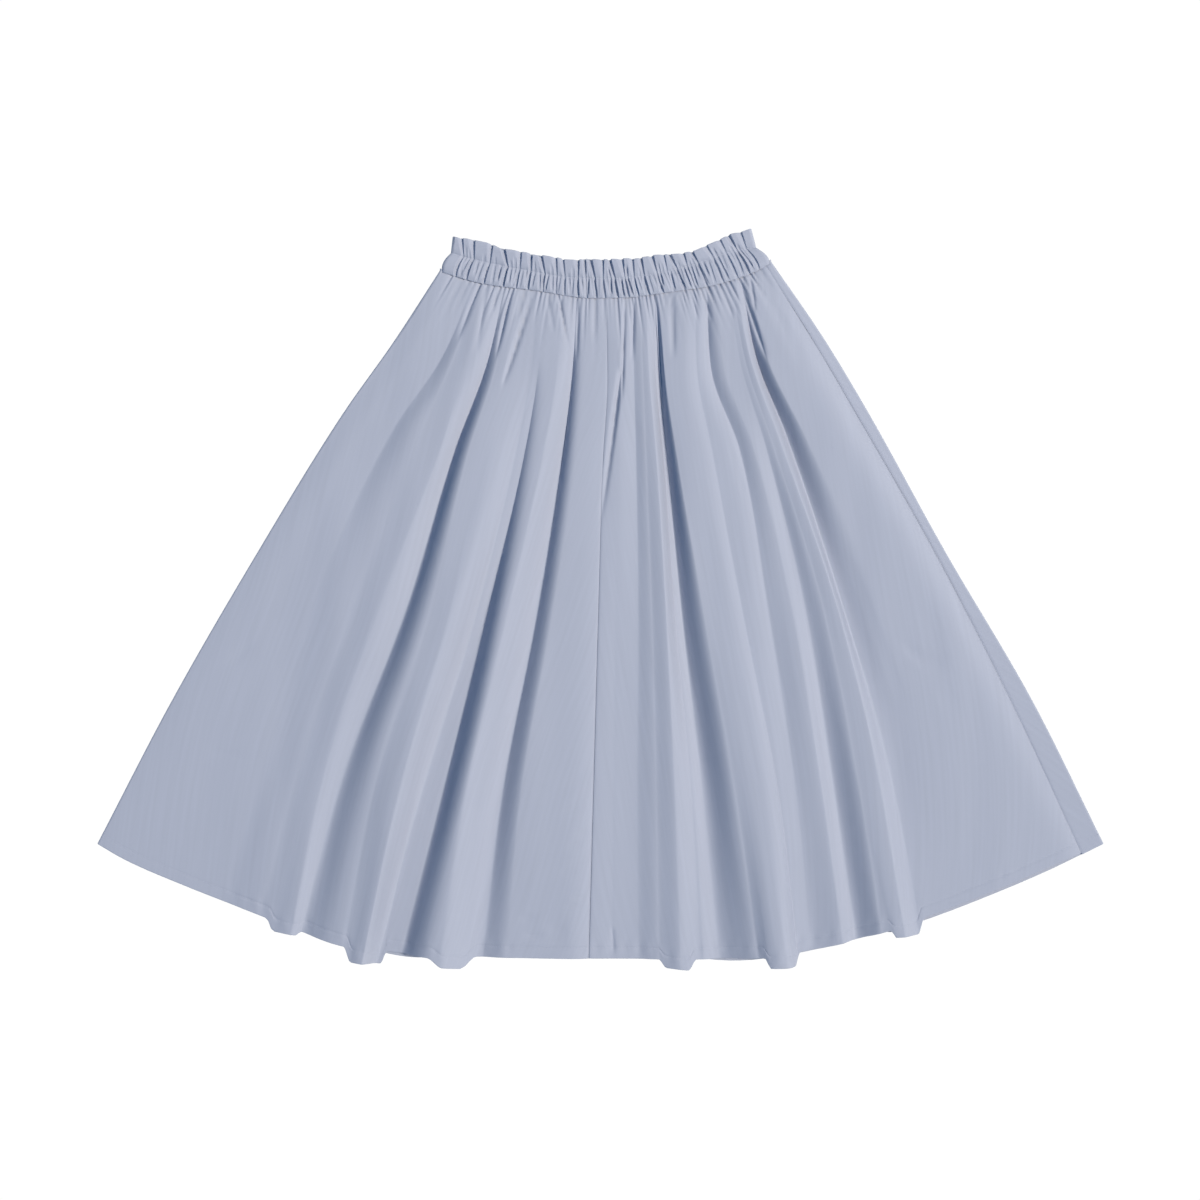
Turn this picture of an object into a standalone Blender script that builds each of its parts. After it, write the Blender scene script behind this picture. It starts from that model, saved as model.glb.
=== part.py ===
"""A gathered skirt laid flat: two front panels, a back panel and a frilled elastic waistband.

Metres, +Z up. It lies face up on the plane z = 0, waist towards +Y, with the origin on that plane
below the middle of its box. The tables are in millimetres and MM turns them into metres.
Run it with: blender --background --python part.py
"""

import math
from collections import namedtuple

import bmesh
import bpy
import numpy as np

MM = 0.001

# Driving sizes, in millimetres
CLOTH = 1.0  # the wall that stands for the cotton cloth
HEM_ALLOWANCE = 1.4  # the wall at the turned-up hem, two layers on the inside
SEAM_GAP = 0.3  # between one piece and the next along a seam
TAB_SHARPNESS = 5  # the power of the level at which the ends of the folds drop
SEAM_FROM_TURN = 0.5  # the left seam lies at least this far in from the round of the side fold
HEM_FROM = 0.98  # the level at which the turned-up hem's full wall begins
CENTRE_SHIFT = (-0.5, -1.5)  # brings the middle of the finished box to the origin

# Levels down the skirt, 0 at the waist seam and 1 at the hem, at which the tables give a line
LEVELS = (0.0, 0.125, 0.25, 0.5, 0.75, 1.0)
# Levels of the panels' points
ROWS = (0.0, 0.03, 0.07, 0.12, 0.18, 0.26, 0.35, 0.45, 0.55, 0.66, 0.77, 0.87, 0.95, 0.986, 1.0)

# The two side edges of the laid skirt, and the height of the cloth where it turns under, at LEVELS
LEFT_EDGE = (-160.0, -206.5, -257.0, -345.0, -427.5, -502.0)
RIGHT_EDGE = (171.0, 221.0, 265.0, 345.5, 430.5, 503.0)
EDGE_HEIGHT = (5.0, 4.4, 4.0, 3.6, 3.4, 3.4)
# How far in from the left edge the left side seam runs, on the underside, at LEVELS
LEFT_SEAM_IN = (6.0, 9.0, 10.0, 9.0, 16.0, 22.0)

# The waist seam and the hem seen from above, as points across and up
WAIST_SEAM = ((-160, 329), (-120, 317.5), (-64, 310), (-8, 302.5), (24, 303), (70, 308.6), (117, 316.2),
              (157, 330), (171, 338))
HEM = ((-502, -243), (-474, -259), (-414, -285), (-344, -312), (-264, -341), (-204, -351), (-70, -355.5),
       (100, -357), (160, -355), (216, -347), (250, -339), (326, -315), (406, -284), (456, -262.5),
       (503, -243))
# How far the back panel's hem shows below the front's, as points across and down
BACK_HEM = ((-502, 0), (-240, 0.5), (-190, 4), (-150, 1), (90, 0.5), (140, 3.5), (250, 1), (320, 4),
            (440, 4), (503, 0))

# Where a fold's end hangs below the hem between its neighbours: from where to where, how far at each
# end, and how soft its sides are.
Tab = namedtuple("Tab", "start end first last side")
HEM_TABS = (
    Tab(-325, -300, 11, 5, 2),
    Tab(-250, -217, 14, 13, 2),
    Tab(-164, -131, 9, 12, 12),
    Tab(64, 91, 8, 11, 3),
    Tab(167, 196, 10, 13, 2),
    Tab(293, 319, 8, 15, 2),
)

# The front seen across: a line down each fold, valley and ridge, from the left edge to the right.
# across and height are at LEVELS. left and right are how wide the wall is that climbs from the line
# to its neighbour, at the waist and at the hem. cuts is the number of strips to the next line.
Line = namedtuple("Line", "name across height left right cuts", defaults=((12, 12), (12, 12), 2))
FRONT = (
    Line("side_left", (-146, -186, -234, -308, -372, -436), (5.3, 5.5, 5.5, 5, 4.5, 4), (12, 30), (12, 30)),
    Line("first_valley", (-125, -158, -208, -280, -330, -376), (4.7, 5.5, 6, 6, 5, 4.4), (9, 30), (7, 30)),
    Line("first_foot", (-117, -147, -181, -243, -297, -340), (5.1, 10, 12, 9, 8, 8), (8, 20), (12, 26)),
    Line("first_ridge", (-106, -133, -158, -219, -273, -308), (5.3, 12, 13, 12, 11, 13), cuts=3),
    Line("second_valley", (-95, -114, -144, -194, -254, -297), (4.4, 4, 4, 4.5, 6, 7),
         (6, 24), (4, 20), cuts=3),
    Line("second_foot", (-90, -104, -130, -170, -222, -254), (5, 13, 20, 24, 21, 20), (8, 20), (8, 16)),
    Line("second_ridge", (-84, -95, -112, -152, -198, -236), (5.3, 14, 20, 25, 26, 25), cuts=3),
    Line("third_left", (-62, -69, -84, -125, -175, -222), (5, 13, 14, 5.5, 4, 4), (9, 20), (9, 16)),
    Line("third_right", (-56, -62, -76, -115, -156, -198), (5, 13, 13, 4.4, 5, 6.5), (9, 9), (3, 16)),
    Line("third_ridge", (-41, -44, -58, -95, -133, -160), (5.3, 14, 19, 25, 28, 28)),
    Line("fourth_valley", (-23, -28, -38, -65, -97, -117), (4.6, 5, 4.5, 4.5, 5, 9), (6, 34), (4, 14)),
    Line("centre_left", (-12, -14, -23, -49, -78, -92), (5.3, 13, 17, 19, 18, 16)),
    Line("front_seam", (6, 7.5, 3, -2, -6.5, -11), (5.2, 12, 15, 16, 14, 11)),
    Line("centre_right", (20, 21, 19, 16, 14, 12), (5.3, 13, 16, 15, 13, 9.5)),
    Line("fifth_valley", (33, 34, 36, 38, 37, 38), (4.9, 11, 14, 14, 12, 9), (9, 16), (8, 16)),
    Line("fifth_foot", (40, 43, 46, 52, 56, 58), (5.1, 13, 17, 17, 15, 13), (8, 12), (8, 16)),
    Line("fifth_ridge", (45, 49, 56, 66, 74, 80), (5.3, 14, 19, 20, 19, 18)),
    Line("sixth_left", (51, 56, 64, 76, 92, 102), (4.7, 6, 5, 6, 9, 12), (4, 16), (8, 12)),
    Line("sixth_valley", (54, 59, 67, 83, 103, 120), (4.2, 4, 4, 4.2, 4, 5.5), (5, 22), (2, 24), cuts=3),
    Line("sixth_foot", (60, 65, 77, 105, 134, 157), (5, 14, 19, 23, 22, 20), (8, 12), (8, 12)),
    Line("sixth_ridge", (84, 82, 93, 120, 153, 181), (5.3, 14, 20, 23, 25, 28)),
    Line("sixth_lee", (95, 97, 112, 143, 176, 197), (5.1, 11, 17, 19, 17, 10), (8, 7), (8, 12), cuts=1),
    Line("seventh_valley", (107, 111, 139, 168, 194, 211), (4.5, 6.5, 12.5, 15.5, 13, 8.5),
         (6, 14), (6, 18)),
    Line("seventh_ridge", (119, 124, 152, 190, 218, 241), (5.3, 12, 17, 19, 17, 14)),
    Line("eighth_valley", (128, 140, 164, 204, 231, 256), (5, 12, 15, 13, 7.5, 5.5),
         (10, 24), (8, 18), cuts=3),
    Line("eighth_foot", (131, 145, 171, 220, 254, 280), (5.1, 12.5, 17, 19, 19, 18), (8, 12), (8, 12)),
    Line("eighth_ridge", (134, 150, 178, 232, 273, 302), (5.3, 13.5, 18, 21, 21, 22)),
    Line("ninth_valley", (140, 157, 187, 239, 286, 319), (4.2, 4, 4, 6, 8, 9), (4, 20), (3, 28), cuts=3),
    Line("side_right", (152, 166, 202, 272, 336, 405), (5.3, 15, 18, 14, 11, 8), (20, 30), (12, 30)),
    Line("right_seam", (165, 212, 255, 337, 413, 481), (5.2, 5.4, 5, 4.2, 3.7, 3.5)),
)

# How a wall climbs from its low line: the part of the rise that lies within its width, the least and
# most of the span that it takes, the sharpness of its crown, and how a wide wall's foot is eased
RISE_IN_WALL = 0.8
WALL_REACH = (0.08, 0.7)
CROWN = (1.6, 9.0)
EASED_FOOT = (6.0, 20.0, 0.9)  # the widths where easing starts and would be whole, and its most
CLOSER = 1.4  # how much closer the strips' edges lie beside the low line

# The short gathers that start at the waist seam between those folds. start and end are the place
# across and the level, share the part of the cloth's height that the crease takes at its deepest,
# width its half width.
Crease = namedtuple("Crease", "name start end share width")
GATHERS = (
    Crease("end_left", (-151, 0.0), (-172, 0.11), 0.25, 6),
    Crease("beside_first", (-113, 0.0), (-142, 0.22), 0.30, 7),
    Crease("under_second", (-76, 0.0), (-92, 0.16), 0.50, 6),
    Crease("before_third", (-68, 0.0), (-74, 0.08), 0.30, 5),
    Crease("slanting", (-47, 0.0), (-32, 0.11), 0.30, 5),
    Crease("short_left", (-32, 0.0), (-31, 0.07), 0.20, 5),
    Crease("by_the_seam", (-6, 0.0), (-9, 0.10), 0.25, 5),
    Crease("long_centre", (26, 0.0), (9, 0.36), 0.55, 6),
    Crease("behind_sixth", (71, 0.0), (71, 0.13), 0.40, 6),
    Crease("faint_right", (87, 0.0), (124, 0.32), 0.20, 8),
    Crease("short_right", (125, 0.0), (137, 0.08), 0.40, 5),
    Crease("before_end", (150, 0.0), (157, 0.07), 0.30, 5),
    Crease("end_right", (160, 0.0), (204, 0.16), 0.22, 7),
)

GATHER_AT_SEAM = 0.4  # of a short gather's depth, already there at the waist seam
GATHER_GROWS = 8.0  # the part of its depth gained for each level down

# The back panel's folds. Each stands up inside the front between the two lines that it is named
# for. share is the part of the room below the lower of them which it fills, at LEVELS, and half its
# half width there.
Flute = namedtuple("Flute", "start end share half")
FLUTES = (
    Flute("first_foot", "first_ridge", (0, 0, 0, 0.3, 0.5, 0.7), (3, 4, 5, 7, 9, 9)),
    Flute("second_foot", "second_ridge", (0, 0.1, 0.3, 0.5, 0.6, 0.7), (3, 4, 6, 10, 14, 7)),
    Flute("third_right", "third_ridge", (0, 0.1, 0.3, 0.5, 0.5, 0.6), (3, 4, 6, 9, 9, 9)),
    Flute("centre_left", "centre_right", (0, 0.1, 0.3, 0.5, 0.5, 0.4), (3, 4, 8, 14, 18, 18)),
    Flute("fifth_foot", "fifth_ridge", (0, 0.1, 0.3, 0.4, 0.5, 0.7), (2, 2, 4, 8, 8, 7)),
    Flute("sixth_foot", "sixth_ridge", (0, 0.1, 0.3, 0.4, 0.6, 0.8), (3, 3, 5, 5, 8, 6)),
    Flute("seventh_valley", "seventh_ridge", (0, 0.1, 0.3, 0.5, 0.5, 0.5), (3, 4, 6, 8, 10, 10)),
    Flute("eighth_foot", "eighth_ridge", (0, 0.1, 0.3, 0.5, 0.6, 0.75), (2, 2, 5, 8, 9, 7)),
)
BACK_ROOM = 4.0  # of a front fold's height, lost to both walls and the air between them
BACK_GATHER = 1.3  # how far the short gathers between the back's folds lift off the surface
BACK_GATHER_ENDS = 0.12  # the level at which they have died away
BACK_GATHER_STARTS = 4  # they are full after this part, one in so many, of that
BACK_GATHER_SHAPE = ((0.25, 0.3), (0.5, 1.0), (0.75, 0.3))  # the place between two folds, and the lift
FLUTE_SHOULDER = 0.6  # the height half way up a fold's side
TURN_ANGLES = (45, 90, 135)  # points round a turned edge, in degrees

# The waistband's rails seen from above: the seam above the casing and the frilled top edge
STITCH_RAIL = ((-149, 346.5), (-120, 338.5), (-70.5, 328.6), (-29, 321.8), (11, 320.9), (47, 324.3),
               (94, 335.2), (131, 347.6), (156, 352))
FRILL_RAIL = ((-147, 362), (-124, 358.5), (-94, 350), (-64, 344.5), (-24, 339.5), (16, 339.5), (56, 343),
              (96, 348), (126, 361), (151, 370))
CASING_ENDS = (-158.0, 165.0)  # the ends of the casing's lower edge
END_TURN = 3.2  # how far the flattened ring's ends reach past its flat halves
LEAST_REACH = 0.4  # of the inside of a turned end

# Rows across the waistband, from its lower edge up. between names the rails it lies between and how
# far. crest is the top of the front half, wall the thickness, groove_front and groove_back the depth
# of a full gather, and through the part of it that shows on the wall's inner side too.
Course = namedtuple("Course", "name between crest wall groove_front groove_back through")
COURSES = (
    Course("lower_edge", ("casing", "stitch", 0.0), 5.6, 2.2, 0.8, 0.6, 0.0),
    Course("casing", ("casing", "stitch", 0.5), 6.4, 2.9, 1.2, 0.8, 0.0),
    Course("stitching", ("stitch", "frill", 0.0), 5.8, 2.2, 1.2, 0.7, 0.0),
    Course("frill", ("stitch", "frill", 0.5), 7.0, 1.2, 2.2, 1.5, 1.0),
    Course("frill_edge", ("stitch", "frill", 1.0), 8.4, 1.2, 3.3, 2.1, 1.0),
)

# The gathers of the waistband's front half: the place across at the stitching, and the depth
Gather = namedtuple("Gather", "across depth")
RUFFLES = tuple(Gather(*row) for row in (
    (-137, 0.7), (-127, 0.9), (-111, 0.8), (-93, 1.0), (-81, 0.7), (-70, 0.9), (-56, 0.9), (-44, 0.7),
    (-36, 0.6), (-23, 0.8), (-15, 0.8), (-6, 1.0), (2, 0.7), (14, 1.0), (24, 0.8), (33, 0.7), (43, 0.9),
    (56, 0.9), (66, 0.5), (76, 1.0), (86, 0.7), (97, 1.0), (112, 0.7), (125, 0.6), (136, 1.0), (145, 0.6),
))
RUFFLE_STEPS = (0.0, 0.2, 0.5, 0.8)  # points from one gather to the next
END_GATHER = 0.2  # how deep the cloth lies where a half meets its turned end
PUFF = 2.5  # how full the cloth is between two gathers

COTTON = (0.425, 0.455, 0.565)  # light dusty blue
COTTON_ROUGHNESS = 0.85
SHARP_ANGLE = 50  # edges sharper than this, in degrees, aren't shaded smooth


def smooth(places, values, at):
    """A curve through points that never swings past them."""
    places, values, at = (np.asarray(a, float) for a in (places, values, at))
    steps = np.diff(places)
    slopes = np.diff(values) / steps
    tangents = np.concatenate([slopes[:1], (slopes[:-1] + slopes[1:]) / 2, slopes[-1:]])
    turning = slopes[:-1] * slopes[1:] <= 0
    tangents[1:-1][turning] = 0
    limit = 3 * np.minimum(np.abs(np.append(slopes, slopes[-1])), np.abs(np.insert(slopes, 0, slopes[0])))
    tangents = np.clip(tangents, -limit, limit)
    i = np.clip(np.searchsorted(places, at, side="right") - 1, 0, len(steps) - 1)
    t = np.clip((at - places[i]) / steps[i], 0, 1)
    return (
        values[i] * (1 + 2 * t) * (1 - t) ** 2
        + values[i + 1] * t * t * (3 - 2 * t)
        + steps[i] * t * (1 - t) * (tangents[i] * (1 - t) - tangents[i + 1] * t)
    )


def at_level(values, level):
    """One of the tables' lines at a level down the skirt."""
    return float(smooth(LEVELS, values, level))


def along(points, across):
    """The height up the page of a plan curve at a place across."""
    places, heights = zip(*points)
    return smooth(places, heights, across)


def hem_drop(place):
    """How far the folds' ends hang below the hem at a place along it."""
    drop = np.zeros_like(np.asarray(place, float))
    for tab in HEM_TABS:
        depth = np.interp(place, (tab.start, tab.end), (tab.first, tab.last))
        inside = np.minimum(place - tab.start, tab.end - place) / tab.side + 0.5
        drop = np.maximum(drop, depth * np.clip(inside, 0, 1))
    return drop


def plan(across, level, back=False):
    """How far up the page a point of the skirt lies."""
    left, right = at_level(LEFT_EDGE, level), at_level(RIGHT_EDGE, level)
    share = np.clip((across - left) / (right - left), 0, 1)
    top = along(WAIST_SEAM, LEFT_EDGE[0] + share * (RIGHT_EDGE[0] - LEFT_EDGE[0]))
    place = LEFT_EDGE[-1] + share * (RIGHT_EDGE[-1] - LEFT_EDGE[-1])
    if back:
        bottom = along(HEM, place) - along(BACK_HEM, place)
    else:
        bottom = along(HEM, place) - hem_drop(place) * level**TAB_SHARPNESS
    return top + level * (bottom - top)


def climb(t, wall, span):
    """The rise, 0 to 1, from a low line to a high one: most of it lies within the wall's width."""
    starts, whole, most = EASED_FOOT
    reach = np.clip(wall / span, *WALL_REACH)
    crown = np.clip(math.log(1 - RISE_IN_WALL) / np.log(1 - reach), *CROWN)
    foot = 1 + np.clip((wall - starts) / (whole - starts), 0, most)
    return (1 - (1 - t) ** crown) ** foot


def creased(across, level, height):
    """The cloth's height with the short gathers pressed into it."""
    floor = CLOTH + SEAM_GAP + CLOTH
    for crease in GATHERS:
        (x0, v0), (x1, v1) = crease.start, crease.end
        part = (level - v0) / (v1 - v0)
        if part < 1:
            middle = x0 + part * (x1 - x0)
            near = np.clip(1 - ((across - middle) / crease.width) ** 2, 0, 1) ** 2
            fade = (1 - part**2) * min(1, GATHER_AT_SEAM + GATHER_GROWS * level)
            height = height - (height - floor) * crease.share * fade * near
    return height


def front_section(level):
    """Points across the top of the skirt, from the left fold to the right: across, height, line name."""
    edge = at_level(EDGE_HEIGHT, level)
    count = len(LEVELS)
    left = Line("left_fold", (at_level(LEFT_EDGE, level) + edge / 2,) * count, (edge,) * count)
    right = Line("right_fold", (at_level(RIGHT_EDGE, level) - edge / 2,) * count, (edge,) * count)
    lines = (left, *FRONT, right)
    points = []
    for low, high in zip(lines, lines[1:]):
        x0, x1 = at_level(low.across, level), at_level(high.across, level)
        z0, z1 = at_level(low.height, level), at_level(high.height, level)
        for i in range(low.cuts):
            t = i / low.cuts
            walls = low.right if z0 < z1 else high.left
            wall = walls[0] + (walls[1] - walls[0]) * level
            if z0 < z1:
                t = t**CLOSER
                z = z0 + (z1 - z0) * climb(t, wall, x1 - x0)
            else:
                t = 1 - (1 - t) ** CLOSER
                z = z1 + (z0 - z1) * climb(1 - t, wall, x1 - x0)
            x = x0 + (x1 - x0) * t
            points.append((x, float(creased(x, level, z)), low.name if i == 0 else ""))
    points.append((at_level(right.across, level), edge, right.name))
    return points


def back_section(level):
    """Points across the underside of the back, from right to left: across and height."""
    edge = at_level(EDGE_HEIGHT, level) / 2
    lines = {line.name: line for line in FRONT}
    fading = max(0, 1 - level / BACK_GATHER_ENDS)
    points = []
    before = at_level(LEFT_EDGE, level) + max(edge, at_level(LEFT_SEAM_IN, level))
    for flute in FLUTES:
        ends = lines[flute.start], lines[flute.end]
        middle = sum(at_level(line.across, level) for line in ends) / 2
        half = at_level(flute.half, level)
        room = max(0, min(at_level(line.height, level) for line in ends) - BACK_ROOM)
        height = room * at_level(flute.share, level)
        lift = BACK_GATHER * fading * min(1, BACK_GATHER_STARTS * level / BACK_GATHER_ENDS)
        for part, rise in BACK_GATHER_SHAPE:
            points.append((before + part * (middle - half - before), rise * lift))
        points.append((middle - half, 0))
        points.append((middle - half / 2, height * FLUTE_SHOULDER))
        points.append((middle, height))
        points.append((middle + half / 2, height * FLUTE_SHOULDER))
        points.append((middle + half, 0))
        before = middle + half
    last = at_level(RIGHT_EDGE, level) - edge
    points += [(before + part * (last - before), 0) for part, _ in BACK_GATHER_SHAPE]
    return points[::-1]


def turn(level, side):
    """The cloth's round fold at a side edge, from the top to the underside."""
    radius = at_level(EDGE_HEIGHT, level) / 2
    edge = at_level(RIGHT_EDGE if side > 0 else LEFT_EDGE, level)
    angles = [math.radians(a) for a in TURN_ANGLES]
    return [(edge - side * radius * (1 - math.sin(a)), radius * (1 + math.cos(a))) for a in angles]


def skirt_ring(level):
    """The whole outside of the skirt at a level, right round: points and the index of each seam."""
    front = front_section(level)
    seams = {name: i for i, (_, _, name) in enumerate(front) if name}
    ring = [(x, plan(x, level), z) for x, z, _ in front]
    ring += [(x, plan(x, level, back=True), z) for x, z in turn(level, 1)]
    radius = at_level(EDGE_HEIGHT, level) / 2
    under_right = at_level(RIGHT_EDGE, level) - radius
    ring.append((under_right, plan(under_right, level, back=True), 0))
    ring += [(x, plan(x, level, back=True), z) for x, z in back_section(level)]
    seam = at_level(LEFT_EDGE, level) + max(radius + SEAM_FROM_TURN, at_level(LEFT_SEAM_IN, level))
    seams["left_seam"] = len(ring)
    ring.append((seam, plan(seam, level), 0))
    under_left = at_level(LEFT_EDGE, level) + radius
    ring.append((under_left, plan(under_left, level), 0))
    ring += [(x, plan(x, level), z) for x, z in turn(level, -1)[::-1]]
    return np.array(ring), seams


def outward(grid):
    """Unit vectors out of a ring-shaped grid of points, rows from the waist down."""
    round_it = np.roll(grid, -1, axis=1) - np.roll(grid, 1, axis=1)
    down = np.gradient(grid, axis=0)
    normal = np.cross(down, round_it)
    normal[0, :, 1] = 0
    normal[-1, :, 1] = 0
    return normal / np.linalg.norm(normal, axis=2, keepdims=True)


def cloth_solid(name, outer, inner, closed=False):
    """A wall of cloth as one closed solid, from the points of its outer and inner face."""
    rows, columns = outer.shape[:2]
    mesh = bmesh.new()
    verts = [
        [[mesh.verts.new(point * MM) for point in row] for row in face] for face in (outer, inner)
    ]
    last = columns if closed else columns - 1
    for r in range(rows - 1):
        for c in range(last):
            n = (c + 1) % columns
            for face, (a, b) in zip(verts, ((c, n), (n, c))):
                mesh.faces.new((face[r][a], face[r + 1][a], face[r + 1][b], face[r][b]))
    for r, flip in ((0, False), (rows - 1, True)):
        for c in range(last):
            n = (c + 1) % columns
            rim = (verts[0][r][c], verts[0][r][n], verts[1][r][n], verts[1][r][c])
            mesh.faces.new(rim[::-1] if flip else rim)
    if not closed:
        for c, flip in ((0, True), (columns - 1, False)):
            for r in range(rows - 1):
                rim = (verts[0][r][c], verts[0][r + 1][c], verts[1][r + 1][c], verts[1][r][c])
                mesh.faces.new(rim if flip else rim[::-1])
    bmesh.ops.recalc_face_normals(mesh, faces=mesh.faces)
    bmesh.ops.triangulate(mesh, faces=mesh.faces)
    data = bpy.data.meshes.new(name)
    mesh.to_mesh(data)
    mesh.free()
    data.shade_smooth()
    data.set_sharp_from_angle(angle=math.radians(SHARP_ANGLE))
    piece = bpy.data.objects.new(name, data)
    bpy.context.scene.collection.objects.link(piece)
    data.materials.append(cotton(name))
    return piece


def cotton(name):
    """The plain matt cotton of one piece."""
    material = bpy.data.materials.new(f"{name}_cotton")
    material.use_nodes = True
    shader = material.node_tree.nodes["Principled BSDF"]
    shader.inputs["Base Color"].default_value = (*COTTON, 1)
    shader.inputs["Roughness"].default_value = COTTON_ROUGHNESS
    shader.inputs["Metallic"].default_value = 0
    return material


def panels():
    """The two front panels and the back, cut from one ring of cloth at their seams."""
    rings = [skirt_ring(level) for level in ROWS]
    outer = np.array([ring for ring, _ in rings])
    seams = rings[0][1]
    walls = np.array([HEM_ALLOWANCE if level > HEM_FROM else CLOTH for level in ROWS])
    inner = outer - outward(outer) * walls[:, None, None]
    count = outer.shape[1]
    cuts = {
        "front_left": (seams["left_seam"] - count, seams["front_seam"]),
        "front_right": (seams["front_seam"], seams["right_seam"]),
        "back": (seams["right_seam"], seams["left_seam"]),
    }
    half_gap = SEAM_GAP / 2
    for name, (first, last) in cuts.items():
        columns = np.arange(first, last + 1) % count
        faces = [face[:, columns].copy() for face in (outer, inner)]
        for face in faces:
            # the start and the end of a piece stand back from the seam, along the cloth
            for end, beside in ((0, 1), (-1, -2)):
                way = face[:, beside] - face[:, end]
                face[:, end] += half_gap * way / np.linalg.norm(way, axis=1, keepdims=True)
            face[:, :, :2] += CENTRE_SHIFT
        cloth_solid(name, *faces)


def rail(name, share):
    """A point of one of the waistband's rails, share of the way from its left end to its right."""
    if name == "casing":
        across = CASING_ENDS[0] + share * (CASING_ENDS[1] - CASING_ENDS[0])
        return np.array([across, along(WAIST_SEAM, across) + SEAM_GAP])
    points = STITCH_RAIL if name == "stitch" else FRILL_RAIL
    across = points[0][0] + share * (points[-1][0] - points[0][0])
    return np.array([across, float(along(points, across))])


def on_course(course, share):
    """A point of one of the waistband's rows, seen from above."""
    lower, upper, part = course.between
    return (1 - part) * rail(lower, share) + part * rail(upper, share)


def ruffled():
    """The gathers right across one half: each point's share of the way, and how deep it lies, 0 to 1."""
    start, end = STITCH_RAIL[0][0] + END_TURN, STITCH_RAIL[-1][0] - END_TURN
    stops = (Gather(start, END_GATHER), *RUFFLES, Gather(end, END_GATHER))
    points = []
    for here, there in zip(stops, stops[1:]):
        for t in RUFFLE_STEPS:
            across = here.across + t * (there.across - here.across)
            depth = here.depth * max(0, 1 - 2 * t) ** PUFF + there.depth * max(0, 2 * t - 1) ** PUFF
            points.append((across, depth))
    points.append((end, END_GATHER))
    width = STITCH_RAIL[-1][0] - STITCH_RAIL[0][0]
    return [((across - STITCH_RAIL[0][0]) / width, depth) for across, depth in points]


def waistband():
    """The casing with its elastic and the frill above it: one cut strip, gathered into a flat ring."""
    gathers = ruffled()
    outer, inner = [], []
    for course in COURSES:
        outside, inside = [], []
        for share, depth in gathers:
            x, y = on_course(course, share)
            groove = course.groove_front * depth
            outside.append((x, y, course.crest - groove))
            inside.append((x, y, course.crest - course.wall - groove * course.through))
        for points, turned in zip((outside, inside), turned_end(course, 1)):
            points += turned
        for share, depth in gathers[::-1]:
            x, y = on_course(course, share)
            groove = course.groove_back * depth
            outside.append((x, y, groove))
            inside.append((x, y, course.wall + groove * course.through))
        for points, turned in zip((outside, inside), turned_end(course, -1)):
            points += turned
        outer.append(outside)
        inner.append(inside)
    outer, inner = np.array(outer), np.array(inner)
    for face in (outer, inner):
        face[:, :, :2] += CENTRE_SHIFT
    cloth_solid("waistband", outer, inner, closed=True)


def turned_end(course, side):
    """The end where the flattened ring turns from one half to the other: outside and inside points."""
    x, y = on_course(course, 1 if side > 0 else 0)
    root = x - side * END_TURN
    middle = course.crest / 2
    angles = TURN_ANGLES if side > 0 else TURN_ANGLES[::-1]
    outside, inside = [], []
    for angle in angles:
        out, up = math.sin(math.radians(angle)), math.cos(math.radians(angle))
        outside.append((root + side * END_TURN * out, y, middle * (1 + up)))
        reach = max(LEAST_REACH, END_TURN - course.wall)
        inside.append((root + side * reach * out, y, middle + (middle - course.wall) * up))
    return outside, inside


def main():
    for thing in list(bpy.data.objects):
        bpy.data.objects.remove(thing, do_unlink=True)
    panels()
    waistband()


main()
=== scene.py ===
import math
from collections import namedtuple

import bmesh
import bpy
import numpy as np
from mathutils import Matrix, Vector


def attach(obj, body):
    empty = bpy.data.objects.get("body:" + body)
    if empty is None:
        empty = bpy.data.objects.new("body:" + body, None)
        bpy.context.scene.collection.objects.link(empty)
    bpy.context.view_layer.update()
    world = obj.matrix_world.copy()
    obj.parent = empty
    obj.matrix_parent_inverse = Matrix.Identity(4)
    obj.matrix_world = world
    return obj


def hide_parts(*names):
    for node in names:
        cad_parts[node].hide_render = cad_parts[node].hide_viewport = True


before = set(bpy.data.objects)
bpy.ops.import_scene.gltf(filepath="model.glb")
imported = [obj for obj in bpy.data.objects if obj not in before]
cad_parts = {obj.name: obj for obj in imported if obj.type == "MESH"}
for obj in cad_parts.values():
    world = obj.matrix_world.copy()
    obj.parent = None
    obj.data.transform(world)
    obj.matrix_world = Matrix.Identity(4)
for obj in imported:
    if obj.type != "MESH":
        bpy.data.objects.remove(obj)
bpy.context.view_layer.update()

# The front panels
# Two flared halves of plain dusty-blue cotton, seamed down the centre front and gathered into the
# waistband. Laid flat, their fullness stands up in soft tube-like folds that fan out to the hem.

# Sizes are in millimetres, across and up from the middle of the view, unless they say otherwise.
MM = 0.001
MIDDLE = (-0.5, -1.5)  # from the middle of the view to the origin
LEVELS = (0.0, 0.125, 0.25, 0.5, 0.75, 1.0)  # 0 at the waist seam, 1 at the hem
LEFT_EDGE = (-160.0, -206.5, -257.0, -345.0, -427.5, -502.0)
RIGHT_EDGE = (171.0, 221.0, 265.0, 345.5, 430.5, 503.0)
EDGE_HEIGHT = (5.0, 4.4, 4.0, 3.6, 3.4, 3.4)
LEFT_SEAM_IN = (6.0, 9.0, 10.0, 9.0, 16.0, 22.0)
SKIRT_LENGTH = 660.0  # down the cloth, from the waist seam to the hem
WAIST_SEAM = ((-160, 329), (-120, 317.5), (-64, 310), (-8, 302.5), (24, 303), (70, 308.6), (117, 316.2),
              (157, 330), (171, 338))
HEM = ((-502, -243), (-474, -259), (-414, -285), (-344, -312), (-264, -341), (-204, -351), (-70, -355.5),
       (100, -357), (160, -355), (216, -347), (250, -339), (326, -315), (406, -284), (456, -262.5),
       (503, -243))
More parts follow.
